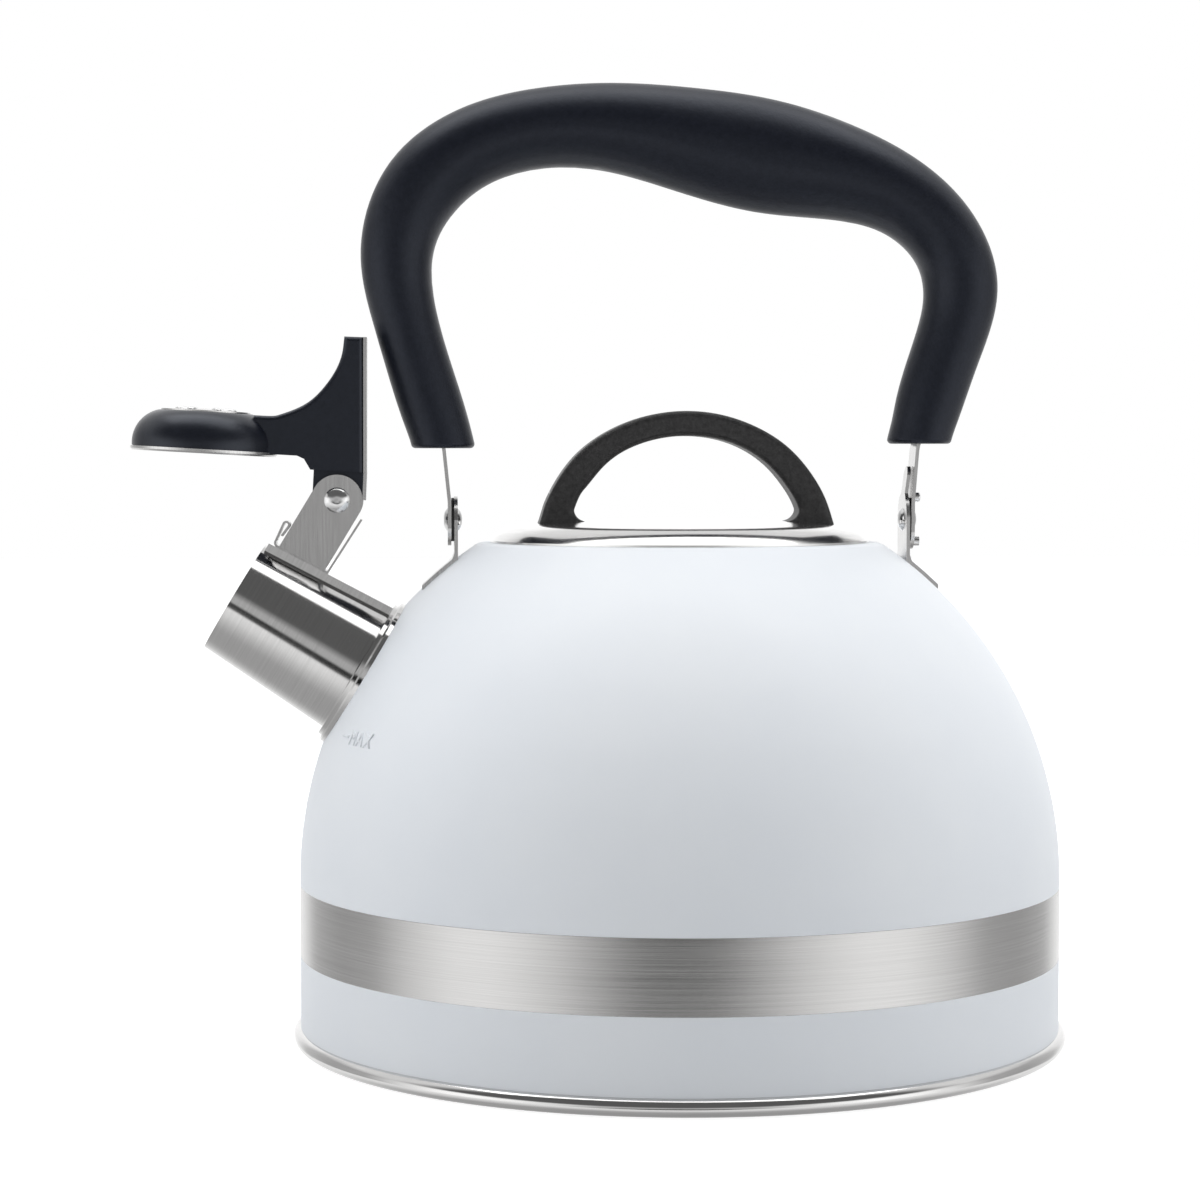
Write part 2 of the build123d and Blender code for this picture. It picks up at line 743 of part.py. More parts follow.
with BuildPart() as lid_solid:
    with BuildSketch(Plane.XZ):
        with BuildLine():
            crown = ThreePointArc((0, lid_top), (crown_edge / 2, lid_height(crown_edge / 2)), shoulder)
            turn = ThreePointArc(shoulder, (51.0, 145.9), (lid_radius, lid_edge + 0.6))
            Polyline((lid_radius, lid_edge + 0.6), (lid_radius, 130), (0, 130), (0, lid_top))
        make_face()
    revolve(axis=Axis.Z)

with BuildPart() as lid_hollow:
    with BuildSketch(Plane.XZ):
        with BuildLine():
            Polyline((0, 129), (0, lid_top - sheet))
            ThreePointArc(
                (0, lid_top - sheet),
                (crown_edge / 2, lid_height(crown_edge / 2) - sheet),
                (crown_edge - 0.1, lid_height(crown_edge) - sheet),
            )
            ThreePointArc(
                (crown_edge - 0.1, lid_height(crown_edge) - sheet),
                (50.5, 145.5),
                (lid_radius - sheet, lid_edge + 0.5),
            )
            Polyline((lid_radius - sheet, lid_edge + 0.5), (lid_radius - sheet, 129), (0, 129))
        make_face()
    revolve(axis=Axis.Z)

with BuildPart() as lid_shell:
    add(lid_solid.part)
    add(lid_hollow.part, mode=Mode.SUBTRACT)
    with Locations((0, 0, 120)):
        Cylinder(70, lid_edge - 120, align=(Align.CENTER, Align.CENTER, Align.MIN), mode=Mode.SUBTRACT)
    with Locations((arch_x + screw_x, 0, 145), (arch_x - screw_x, 0, 145)):
        Cylinder(screw_radius, 20, mode=Mode.SUBTRACT)
lid_shell.part.label = "lid_shell"
export_step(lid_shell.part, "parts/lid_shell.step")

# the locating skirt: a spot-welded ring with a turned-in top and a rolled bottom edge
with BuildPart() as lid_skirt:
    with BuildSketch(Plane.XZ):
        with BuildLine():
            Polyline(
                (skirt_radius, 134.0),
                (skirt_radius, 160),
                (skirt_radius - sheet, 160),
                (skirt_radius - sheet, 134.0),
                close=True,
            )
        make_face()
        with BuildLine():
            inside = lid_height(crown_edge) - sheet
            Polyline(
                (skirt_radius, inside - 1.4),
                (skirt_radius, inside + 2),
                (skirt_radius - 2.2, inside + 2),
                (skirt_radius - 2.2, inside - 0.3),
                (skirt_radius - 0.9, inside - 1.4),
                close=True,
            )
        make_face()
        with Locations((skirt_radius - 0.7, 134.0)):
            Circle(0.7)
    revolve(axis=Axis.Z)
    add(lid_hollow.part, mode=Mode.INTERSECT)
lid_skirt.part.label = "lid_skirt"
export_step(lid_skirt.part, "parts/lid_skirt.step")

handle_half_width = 7.5
with BuildPart() as lid_handle:
    with BuildSketch(Plane(origin=(arch_x, 0, 0), x_dir=(1, 0, 0), z_dir=(0, -1, 0))):
        outer = [(42.4, 147.0), (40.2, 153.8), (36.3, 161.2), (28.0, 170.5), (19.4, 175.7), (10.0, 178.9), (0, 180.0)]
        inner = [(32.0, 152.2), (28.6, 158.4), (23.9, 164.0), (15.1, 169.9), (0, 172.9)]
        with BuildLine():
            for half in (outer, inner):
                other = [(-x, z) for x, z in reversed(half[:-1])]
                Spline(*half, *other, tangents=[(-0.35, 1), (-0.35, -1)])
            for side in (1, -1):
                Spline(
                    (side * 32.0, 152.2),
                    (side * 31.3, 149.9),
                    (side * 27.5, 148.2),
                    tangents=[(side * 0.3, -1), (-side, -0.25)],
                )
                Polyline(
                    (side * 27.5, 148.2),
                    (side * 27.5, 146.0),
                    (side * 42.4, 146.0),
                    (side * 42.4, 147.0),
                )
        make_face()
    extrude(amount=handle_half_width, both=True)
    rims = lid_handle.edges().filter_by(
        lambda e: abs(abs(e.center().Y) - handle_half_width) < 0.01 and e.center().Z > 152
    )
    fillet(rims, 1.8)
    add(lid_solid.part, mode=Mode.SUBTRACT)

# two screws from under the lid, each with a washer, hold the arch down
screw_top = 157.0
with BuildPart() as lid_washers:
    with Locations((arch_x + screw_x, 0, 140), (arch_x - screw_x, 0, 140)):
        Cylinder(4.6, 12, align=(Align.CENTER, Align.CENTER, Align.MIN))
    add(lid_hollow.part, mode=Mode.INTERSECT)
    with Locations((arch_x + screw_x, 0, 0), (arch_x - screw_x, 0, 0)):
        Cylinder(8, 146.4, align=(Align.CENTER, Align.CENTER, Align.MIN), mode=Mode.SUBTRACT)
        Cylinder(screw_radius, 200, align=(Align.CENTER, Align.CENTER, Align.MIN), mode=Mode.SUBTRACT)
lid_washers.part.label = "lid_washers"
export_step(lid_washers.part, "parts/lid_washers.step")

with BuildPart() as lid_screws:
    with Locations((arch_x + screw_x, 0, 144.4), (arch_x - screw_x, 0, 144.4)):
        Cylinder(3.8, 2.0, align=(Align.CENTER, Align.CENTER, Align.MIN))
        Cylinder(screw_radius, screw_top - 144.4, align=(Align.CENTER, Align.CENTER, Align.MIN))
    with Locations((arch_x + screw_x, 0, 144.4), (arch_x - screw_x, 0, 144.4)):
        Cylinder(1.6, 1.0, align=(Align.CENTER, Align.CENTER, Align.MIN), mode=Mode.SUBTRACT)
lid_screws.part.label = "lid_screws"
export_step(lid_screws.part, "parts/lid_screws.step")

with lid_handle:
    add(lid_screws.part, mode=Mode.SUBTRACT)
lid_handle.part.label = "lid_handle"
export_step(lid_handle.part, "parts/lid_handle.step")
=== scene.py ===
from math import asin, cos, pi, radians, sin

import bmesh
import bpy
from mathutils import Matrix, Vector


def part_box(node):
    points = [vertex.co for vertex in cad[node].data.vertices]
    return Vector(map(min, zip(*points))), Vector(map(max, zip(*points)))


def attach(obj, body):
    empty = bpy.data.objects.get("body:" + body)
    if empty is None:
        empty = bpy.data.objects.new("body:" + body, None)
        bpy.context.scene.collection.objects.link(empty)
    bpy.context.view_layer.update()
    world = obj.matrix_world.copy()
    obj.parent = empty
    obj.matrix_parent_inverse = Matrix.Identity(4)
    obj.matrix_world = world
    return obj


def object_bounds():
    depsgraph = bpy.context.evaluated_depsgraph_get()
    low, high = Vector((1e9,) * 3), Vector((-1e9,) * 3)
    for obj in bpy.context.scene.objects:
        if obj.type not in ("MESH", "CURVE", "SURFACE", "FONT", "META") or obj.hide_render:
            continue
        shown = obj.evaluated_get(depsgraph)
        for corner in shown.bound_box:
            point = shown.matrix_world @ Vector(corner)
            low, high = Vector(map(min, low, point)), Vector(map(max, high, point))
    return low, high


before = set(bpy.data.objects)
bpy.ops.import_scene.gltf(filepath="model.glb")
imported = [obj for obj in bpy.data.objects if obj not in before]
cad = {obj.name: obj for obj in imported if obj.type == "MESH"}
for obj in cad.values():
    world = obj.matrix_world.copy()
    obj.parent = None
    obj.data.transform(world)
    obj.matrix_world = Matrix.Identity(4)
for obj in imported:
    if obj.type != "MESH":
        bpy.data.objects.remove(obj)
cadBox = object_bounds()
print("frame loaded:", len(cad), "nodes")


def addNode(tree, kind, place=(0, 0), **values):
    node = tree.nodes.new(kind)
    node.location = place
    for key, value in values.items():
        setattr(node, key, value)
    return node


def link(tree, a, b):
    tree.links.new(a, b)


def startMaterial(name):
    mat = bpy.data.materials.new(name)
    mat.use_nodes = True
    tree = mat.node_tree
    bsdf = tree.nodes["Principled BSDF"]
    coords = addNode(tree, "ShaderNodeTexCoord", (-1200, 0))
    return mat, tree, bsdf, coords.outputs["Object"]


def startGroup(name, inputs, outputs):
    group = bpy.data.node_groups.new(name, "ShaderNodeTree")
    for label, kind, value in inputs:
        sock = group.interface.new_socket(label, in_out="INPUT", socket_type=kind)
        sock.default_value = value
    for label, kind in outputs:
        group.interface.new_socket(label, in_out="OUTPUT", socket_type=kind)
    inside = addNode(group, "NodeGroupInput", (-900, 0))
    outside = addNode(group, "NodeGroupOutput", (700, 0))
    return group, inside, outside


def placeGroup(tree, group, place, **values):
    node = addNode(tree, "ShaderNodeGroup", place, node_tree=group)
    for key, value in values.items():
        node.inputs[key].default_value = value
    return node


def maths(tree, what, a, b=None, place=(0, 0), clamp=False):
    node = addNode(tree, "ShaderNodeMath", place, operation=what, use_clamp=clamp)
    for socket, value in zip(node.inputs, (a, b)):
        if value is None:
            continue
        if isinstance(value, (int, float)):
            socket.default_value = value
        else:
            link(tree, value, socket)
    return node.outputs[0]


def mixFloat(tree, mask, a, b, place=(0, 0)):
    node = addNode(tree, "ShaderNodeMix", place, data_type="FLOAT")
    for socket, value in zip((node.inputs[0], node.inputs[2], node.inputs[3]), (mask, a, b)):
        if isinstance(value, (int, float)):
            socket.default_value = value
        else:
            link(tree, value, socket)
    return node.outputs[0]


def mixColor(tree, mask, a, b, place=(0, 0)):
    node = addNode(tree, "ShaderNodeMix", place, data_type="RGBA")
    for socket, value in zip((node.inputs[0], node.inputs[6], node.inputs[7]), (mask, a, b)):
        if isinstance(value, (int, float, tuple)):
            socket.default_value = value
        else:
            link(tree, value, socket)
    return node.outputs[2]


def ramp(tree, value, low, high, place=(0, 0)):
    node = addNode(tree, "ShaderNodeMapRange", place)
    link(tree, value, node.inputs["Value"])
    for label, number in zip(("From Min", "From Max", "To Min", "To Max"), (*low, *high)):
        node.inputs[label].default_value = number
    return node.outputs["Result"]


def bump(tree, bsdf, height, distance, strength=1.0, place=(-250, -300)):
    node = addNode(tree, "ShaderNodeBump", place)
    node.inputs["Distance"].default_value = distance
    node.inputs["Strength"].default_value = strength
    link(tree, height, node.inputs["Height"])
    link(tree, node.outputs["Normal"], bsdf.inputs["Normal"])


# soft patches, for smudges and slow changes of tone
def patchGroup():
    group, inside, outside = startGroup(
        "softPatches",
        [("Vector", "NodeSocketVector", (0, 0, 0)), ("Scale", "NodeSocketFloat", 30.0)],
        [("Mask", "NodeSocketFloat")],
    )
    noise = addNode(group, "ShaderNodeTexNoise", (-500, 0))
    noise.inputs["Detail"].default_value = 3.0
    noise.inputs["Roughness"].default_value = 0.55
    link(group, inside.outputs["Vector"], noise.inputs["Vector"])
    link(group, inside.outputs["Scale"], noise.inputs["Scale"])
    link(group, ramp(group, noise.outputs["Fac"], (0.3, 0.7), (0, 1), (-200, 0)), outside.inputs["Mask"])
    return group


# moulded grain: two sizes of fine noise
def grainGroup():
    group, inside, outside = startGroup(
        "mouldedGrain",
        [("Vector", "NodeSocketVector", (0, 0, 0)), ("Scale", "NodeSocketFloat", 2500.0)],
        [("Height", "NodeSocketFloat"), ("Mask", "NodeSocketFloat")],
    )
    fine = addNode(group, "ShaderNodeTexNoise", (-500, 150))
    fine.inputs["Detail"].default_value = 2.0
    coarse = addNode(group, "ShaderNodeTexNoise", (-500, -150))
    coarse.inputs["Detail"].default_value = 1.0
    link(group, inside.outputs["Vector"], fine.inputs["Vector"])
    link(group, inside.outputs["Vector"], coarse.inputs["Vector"])
    link(group, inside.outputs["Scale"], fine.inputs["Scale"])
    link(group, maths(group, "MULTIPLY", inside.outputs["Scale"], 0.35, (-700, -150)), coarse.inputs["Scale"])
    both = maths(group, "ADD", fine.outputs["Fac"], coarse.outputs["Fac"], (-250, 0))
    link(group, both, outside.inputs["Height"])
    link(group, ramp(group, both, (0.7, 1.3), (0, 1), (0, -200)), outside.inputs["Mask"])
    return group


# brushing: noise squeezed into long lines, Stretch holds the lines per metre along each axis
def brushGroup():
    group, inside, outside = startGroup(
        "brushedLines",
        [("Vector", "NodeSocketVector", (0, 0, 0)), ("Stretch", "NodeSocketVector", (20.0, 20.0, 4000.0))],
        [("Height", "NodeSocketFloat"), ("Mask", "NodeSocketFloat")],
    )
    squeeze = addNode(group, "ShaderNodeVectorMath", (-700, 0), operation="MULTIPLY")
    link(group, inside.outputs["Vector"], squeeze.inputs[0])
    link(group, inside.outputs["Stretch"], squeeze.inputs[1])
    noise = addNode(group, "ShaderNodeTexNoise", (-450, 0))
    noise.inputs["Scale"].default_value = 1.0
    noise.inputs["Detail"].default_value = 4.0
    noise.inputs["Roughness"].default_value = 0.7
    link(group, squeeze.outputs["Vector"], noise.inputs["Vector"])
    link(group, noise.outputs["Fac"], outside.inputs["Height"])
    link(group, ramp(group, noise.outputs["Fac"], (0.3, 0.7), (0, 1), (-150, 0)), outside.inputs["Mask"])
    return group


patches, grain, brushing = patchGroup(), grainGroup(), brushGroup()


coat = {
    "white": (0.83, 0.862, 0.90, 1),
    "whiteLow": (0.80, 0.836, 0.882, 1),
    "steel": (0.60, 0.595, 0.59, 1),
    "steelDark": (0.50, 0.495, 0.49, 1),
    "bandLow": 0.0258,
    "bandHigh": 0.0459,
    "edge": 0.00006,  # half the width of the band's masked edges
    "middle": (0, 0, 0.06),  # of the vessel, which inside faces look back at
    "insideLimit": -0.03,
    "peel": 900.0,  # orange peel, dimples per metre
    "peelShare": 0.05,  # of the coat's thickness
    "brushing": (14.0, 14.0, 5200.0),
    "brushShare": 0.08,
    "thickness": 0.0001,
    "smudges": 22.0,
    "mattRange": (0.44, 0.5),
    "steelRange": (0.18, 0.25),
    "glossSpread": 0.3,  # up and down, because the brushing runs round the wall
}


# powder coat outside, with a bare brushed band, and bare steel inside
def coatMaterial():
    mat, tree, bsdf, where = startMaterial("powderCoat")
    split = addNode(tree, "ShaderNodeSeparateXYZ", (-1000, 200))
    link(tree, where, split.inputs[0])
    height = split.outputs["Z"]
    low, high, edge = coat["bandLow"], coat["bandHigh"], coat["edge"]
    above = ramp(tree, height, (low - edge, low + edge), (0, 1), (-800, 300))
    below = ramp(tree, height, (high - edge, high + edge), (1, 0), (-800, 100))
    band = maths(tree, "MULTIPLY", above, below, (-600, 200))
    # the inside faces point back at the vessel's middle
    fromMiddle = addNode(tree, "ShaderNodeVectorMath", (-1000, -200), operation="SUBTRACT")
    link(tree, where, fromMiddle.inputs[0])
    fromMiddle.inputs[1].default_value = coat["middle"]
    facing = addNode(tree, "ShaderNodeNewGeometry", (-1000, -400))
    dot = addNode(tree, "ShaderNodeVectorMath", (-800, -250), operation="DOT_PRODUCT")
    link(tree, fromMiddle.outputs["Vector"], dot.inputs[0])
    link(tree, facing.outputs["True Normal"], dot.inputs[1])
    inside = maths(tree, "LESS_THAN", dot.outputs["Value"], coat["insideLimit"], (-600, -250))
    bare = maths(tree, "MAXIMUM", band, inside, (-400, 0))

    lines = placeGroup(tree, brushing, (-800, -550), Stretch=coat["brushing"])
    link(tree, where, lines.inputs["Vector"])
    peel = placeGroup(tree, grain, (-800, -750), Scale=coat["peel"])
    link(tree, where, peel.inputs["Vector"])
    smudge = placeGroup(tree, patches, (-800, -900), Scale=coat["smudges"])
    link(tree, where, smudge.inputs["Vector"])

    white = mixColor(tree, smudge.outputs["Mask"], coat["white"], coat["whiteLow"], (-400, 400))
    steel = mixColor(tree, lines.outputs["Mask"], coat["steelDark"], coat["steel"], (-400, 250))
    link(tree, mixColor(tree, bare, white, steel, (-200, 300)), bsdf.inputs["Base Color"])
    link(tree, bare, bsdf.inputs["Metallic"])
    matt = ramp(tree, smudge.outputs["Mask"], (0, 1), coat["mattRange"], (-400, -100))
    shiny = ramp(tree, lines.outputs["Mask"], (0, 1), coat["steelRange"], (-400, -250))
    link(tree, mixFloat(tree, bare, matt, shiny, (-200, -100)), bsdf.inputs["Roughness"])
    # heights are in coat thicknesses, and the band lies one of them below the coat
    dimples = maths(tree, "MULTIPLY", peel.outputs["Height"], coat["peelShare"], (-500, -700))
    scores = maths(tree, "MULTIPLY", lines.outputs["Height"], coat["brushShare"], (-500, -550))
    rough = mixFloat(tree, bare, dimples, scores, (-300, -600))
    step = maths(tree, "SUBTRACT", rough, band, (-300, -750))
    bump(tree, bsdf, step, coat["thickness"])
    around = addNode(tree, "ShaderNodeTangent", (-400, -1000), direction_type="RADIAL", axis="Z")
    link(tree, around.outputs["Tangent"], bsdf.inputs["Tangent"])
    bsdf.inputs["Anisotropic"].default_value = coat["glossSpread"]
    bsdf.inputs["Anisotropic Rotation"].default_value = 0.25  # a quarter turn
    return mat


# light and dark are the lines' two tones, stretch is the lines per metre along each axis
def steelMaterial(name, light, dark, stretch, roughness, depth, lean=0):
    mat, tree, bsdf, where = startMaterial(name)
    if lean:
        # turns the brushing so its lines run round a leaning axis
        turned = addNode(tree, "ShaderNodeMapping", (-1000, 100))
        turned.inputs["Rotation"].default_value = (0, radians(lean), 0)
        link(tree, where, turned.inputs["Vector"])
        where = turned.outputs["Vector"]
    lines = placeGroup(tree, brushing, (-800, 0), Stretch=stretch)
    link(tree, where, lines.inputs["Vector"])
    smudge = placeGroup(tree, patches, (-800, -200), Scale=45.0)
    link(tree, where, smudge.inputs["Vector"])
    link(tree, mixColor(tree, lines.outputs["Mask"], light, dark, (-400, 200)), bsdf.inputs["Base Color"])
    bsdf.inputs["Metallic"].default_value = 1.0
    fromLines = maths(tree, "MULTIPLY", lines.outputs["Mask"], 0.6, (-600, -100))
    fromSmudges = maths(tree, "MULTIPLY", smudge.outputs["Mask"], 0.4, (-600, -250))
    both = maths(tree, "ADD", fromLines, fromSmudges, (-450, -150))
    link(tree, ramp(tree, both, (0, 1), roughness, (-250, -50)), bsdf.inputs["Roughness"])
    bump(tree, bsdf, lines.outputs["Height"], depth)
    return mat


def plasticMaterial(name, base, scuffed, scale, depth, roughness, specular=0.5, tint=(1, 1, 1, 1)):
    mat, tree, bsdf, where = startMaterial(name)
    skin = placeGroup(tree, grain, (-800, 0), Scale=scale)
    link(tree, where, skin.inputs["Vector"])
    smudge = placeGroup(tree, patches, (-800, -200), Scale=35.0)
    link(tree, where, smudge.inputs["Vector"])
    link(tree, mixColor(tree, skin.outputs["Mask"], base, scuffed, (-400, 200)), bsdf.inputs["Base Color"])
    link(tree, ramp(tree, smudge.outputs["Mask"], (0, 1), roughness, (-400, -50)), bsdf.inputs["Roughness"])
    bsdf.inputs["Specular IOR Level"].default_value = specular
    bsdf.inputs["Specular Tint"].default_value = tint
    bump(tree, bsdf, skin.outputs["Height"], depth)
    return mat


steelLooks = {
    "polishedSteel": {
        "light": (0.72, 0.715, 0.71, 1),
        "dark": (0.66, 0.655, 0.65, 1),
        "stretch": (60, 60, 900),
        "roughness": (0.07, 0.13),
        "depth": 0.000002,
    },
    "lidSteel": {
        "light": (0.80, 0.795, 0.79, 1),
        "dark": (0.72, 0.715, 0.71, 1),
        "stretch": (60, 60, 900),
        "roughness": (0.12, 0.18),
        "depth": 0.000001,
    },
    "tubeSteel": {
        "light": (0.70, 0.695, 0.69, 1),
        "dark": (0.62, 0.615, 0.61, 1),
        "stretch": (25, 25, 2600),
        "roughness": (0.07, 0.15),
        "depth": 0.0000015,
        "lean": 58.8,  # the spout leans this far from upright
    },
    "satinSteel": {
        "light": (0.72, 0.715, 0.71, 1),
        "dark": (0.60, 0.595, 0.59, 1),
        "stretch": (2600, 2600, 60),
        "roughness": (0.2, 0.3),
        "depth": 0.0000015,
    },
    "rivetSteel": {
        "light": (0.80, 0.80, 0.80, 1),
        "dark": (0.70, 0.70, 0.70, 1),
        "stretch": (800, 800, 800),
        "roughness": (0.12, 0.24),
        "depth": 0.000004,
    },
    "castAluminium": {
        "light": (0.70, 0.71, 0.72, 1),
        "dark": (0.6, 0.6, 0.61, 1),
        "stretch": (700, 700, 700),
        "roughness": (0.4, 0.55),
        "depth": 0.00002,
    },
}
plasticLooks = {
    "gripPlastic": {
        "base": (0.0050, 0.0062, 0.0110, 1),
        "scuffed": (0.0085, 0.0100, 0.0165, 1),
        "scale": 1500.0,
        "depth": 0.00003,
        "roughness": (0.34, 0.42),
        "specular": 0.36,
        "tint": (0.80, 0.86, 1.0, 1),
    },
    "flapPlastic": {
        "base": (0.0040, 0.0050, 0.0090, 1),
        "scuffed": (0.0070, 0.0082, 0.0135, 1),
        "scale": 1800.0,
        "depth": 0.000012,
        "roughness": (0.30, 0.38),
        "specular": 0.55,
        "tint": (0.82, 0.88, 1.0, 1),
    },
    "archPlastic": {
        "base": (0.012, 0.0118, 0.012, 1),
        "scuffed": (0.034, 0.033, 0.034, 1),
        "scale": 1900.0,
        "depth": 0.00004,
        "roughness": (0.4, 0.5),
        "specular": 0.55,
    },
    "washerPlastic": {
        "base": (0.012, 0.012, 0.012, 1),
        "scuffed": (0.02, 0.02, 0.02, 1),
        "scale": 1500.0,
        "depth": 0.00002,
        "roughness": (0.5, 0.6),
    },
}
palette = {"powderCoat": coatMaterial()}
for name, look in steelLooks.items():
    palette[name] = steelMaterial(name, **look)
for name, look in plasticLooks.items():
    palette[name] = plasticMaterial(name, **look)

finishes = {
    "body_shell": "powderCoat",
    "bottom_pan": "polishedSteel",
    "base_cap": "polishedSteel",
    "heat_spreader_disc": "castAluminium",
    "spout_tube": "tubeSteel",
    "spout_collar": "polishedSteel",
    "whistle_bracket": "satinSteel",
    "spring_strip": "satinSteel",
    "bracket_rivets": "rivetSteel",
    "flap_pin": "rivetSteel",
    "ear_left": "satinSteel",
    "ear_right": "satinSteel",
    "pivot_rivets": "rivetSteel",
    "pivot_washers": "washerPlastic",
    "handle_grip": "gripPlastic",
    "strap_left": "satinSteel",
    "strap_right": "satinSteel",
    "stop_studs": "rivetSteel",
    "flap_body": "flapPlastic",
    "lever_plate": "satinSteel",
    "lever_rivets": "rivetSteel",
    "whistle_base_plate": "satinSteel",
    "whistle_top_plate": "satinSteel",
    "lid_shell": "lidSteel",
    "lid_skirt": "satinSteel",
    "lid_handle": "archPlastic",
    "lid_washers": "rivetSteel",
    "lid_screws": "rivetSteel",
}
for name, finish in finishes.items():
    if not cad[name].material_slots:
        cad[name].data.materials.append(palette[finish])
    for slot in cad[name].material_slots:
        slot.material = palette[finish]
print("finishes assigned:", len(finishes))


def newPiece(name, bm, finish, body):
    mesh = bpy.data.meshes.new(name)
    bm.to_mesh(mesh)
    bm.free()
    piece = bpy.data.objects.new(name, mesh)
    bpy.context.collection.objects.link(piece)
    mesh.materials.append(finish)
    for face in mesh.polygons:
        face.use_smooth = True
    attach(piece, body)
    return piece


levelMark = {
    "word": "MAX",
    "capHeight": 0.0042,
    "relief": 0.00022,
    "turn": 205.5,  # degrees round from +X, on the spout side
    "height": 0.0885,
    "domeRadius": 0.114,
    "domeMiddle": 0.0475,  # height of the dome's centre
    "domeInset": -0.0055,  # the arc's centre lies this far past the axis
    "dash": (0.0052, 0.0007),
    "dashAt": -0.0105,  # along the word's line
    "wallRadius": 0.0985,  # where the word is bent round
    "spacing": 1.15,
    "capShare": 0.70,  # of the lettering's size that a capital is high
}


# where a point of the dome lies, and how steeply the dome faces up there
def domePlace(turn, height):
    rise = asin((height - levelMark["domeMiddle"]) / levelMark["domeRadius"])
    out = levelMark["domeInset"] + levelMark["domeRadius"] * cos(rise)
    return Vector((out * cos(turn), out * sin(turn), height)), rise


# the raised level mark, pressed out of the wall and coated with it
def buildLevelMark():
    curve = bpy.data.curves.new("levelWord", "FONT")
    curve.body = levelMark["word"]
    curve.size = levelMark["capHeight"] / levelMark["capShare"]
    curve.align_x = "CENTER"
    curve.space_character = levelMark["spacing"]
    word = bpy.data.objects.new("levelWord", curve)
    bpy.context.collection.objects.link(word)
    bpy.context.view_layer.update()
    mesh = bpy.data.meshes.new_from_object(word.evaluated_get(bpy.context.evaluated_depsgraph_get()))
    bpy.data.objects.remove(word)
    bm = bmesh.new()
    bm.from_mesh(mesh)
    bpy.data.meshes.remove(mesh)
    wide, thick = levelMark["dash"]
    bar = bmesh.ops.create_grid(bm, x_segments=4, y_segments=1, size=0.5)
    bmesh.ops.scale(bm, vec=(wide, thick, 1), verts=bar["verts"])
    bmesh.ops.translate(bm, vec=(levelMark["dashAt"], levelMark["capHeight"] / 2, 0), verts=bar["verts"])
    bmesh.ops.remove_doubles(bm, verts=bm.verts, dist=0.00001)
    grown = bmesh.ops.extrude_face_region(bm, geom=bm.faces[:])
    tops = [v for v in grown["geom"] if isinstance(v, bmesh.types.BMVert)]
    bmesh.ops.translate(bm, vec=(0, 0, levelMark["relief"] * 2), verts=tops)
    bmesh.ops.translate(bm, vec=(0, 0, -levelMark["relief"]), verts=bm.verts)
    bmesh.ops.recalc_face_normals(bm, faces=bm.faces[:])
    # wrap the flat word round the dome
    for v in bm.verts:
        turn = radians(levelMark["turn"]) + v.co.x / levelMark["wallRadius"]
        foot, rise = domePlace(turn, levelMark["height"])
        outward = Vector((cos(turn) * cos(rise), sin(turn) * cos(rise), sin(rise)))
        upward = Vector((-cos(turn) * sin(rise), -sin(turn) * sin(rise), cos(rise)))
        v.co = foot + upward * v.co.y + outward * v.co.z
    newPiece("levelMark", bm, palette["powderCoat"], "kettle")


crown = {
    "vents": 6,
    "ringRadius": 0.0066,
    "ventSize": (0.0021, 0.0013, 0.0007),
    "lift": 0.30,  # above the plate's middle, as a share of its height
    "tilt": 3.2,  # degrees that the open flap leans
}


# pressed vents round the whistle's crown plate
def buildCrownVents():
    low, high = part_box("whistle_top_plate")
    middle = (low + high) / 2
    tilt = Matrix.Rotation(radians(crown["tilt"]), 4, "Y")
    bm = bmesh.new()
    for index in range(crown["vents"]):
        spin = Matrix.Rotation(2 * pi * index / crown["vents"], 4, "Z")
        shape = bmesh.ops.create_uvsphere(bm, u_segments=20, v_segments=10, radius=1.0)
        stretch = Matrix.Diagonal((*crown["ventSize"], 1))
        out = Matrix.Translation((crown["ringRadius"], 0, (high - low).z * crown["lift"]))
        place = Matrix.Translation(middle) @ tilt @ spin @ out @ stretch
        bmesh.ops.transform(bm, matrix=place, verts=shape["verts"])
    newPiece("crownVents", bm, palette["rivetSteel"], "whistle_flap")


buildLevelMark()
buildCrownVents()
print("small pieces built")


studio = {
    "floorSize": 8.0,
    "floorSeen": (0.9, 0.905, 0.91, 1),
    "floorBounce": (0.55, 0.555, 0.56, 1),
    "floorGlow": 0.7,
    "faces": (-0.087, -0.996, 0),  # the dark doorway of the tent lies this way
    "ceilingBack": 0.86,
    "ceilingFront": 0.13,
    "ceilingChange": (-0.1, 0.3),  # from back to front, by the same cosine as the walls
    "ceilingEdge": (0.24, 0.42),
    "ceilingSlope": 0.16,  # the dark ceiling comes lowest over the front
    "lintel": (-0.10, -0.06),
    "horizon": (-0.22, -0.27),
    "airStrength": 2.0,
    "aim": (-0.01, 0, 0.1),
}
softboxes = {
    "topLight": {"place": (0.0, 0.05, 1.2), "size": (1.6, 0.8), "power": 6.6},
    # these are too soft and far to show in the steel
    "topWash": {"place": (0.0, 0.0, 1.4), "size": (1.6, 1.6), "power": 7.6, "mirrored": False},
    "leftWash": {"place": (-1.3, -0.05, 0.57), "size": (1.2, 1.2), "power": 4.7, "mirrored": False},
    "rightWash": {"place": (1.3, -0.05, 0.57), "size": (1.2, 1.2), "power": 4.3, "mirrored": False},
    "frontWash": {"place": (0.05, -1.5, 0.3), "size": (1.2, 1.0), "power": 2.1, "mirrored": False},
}
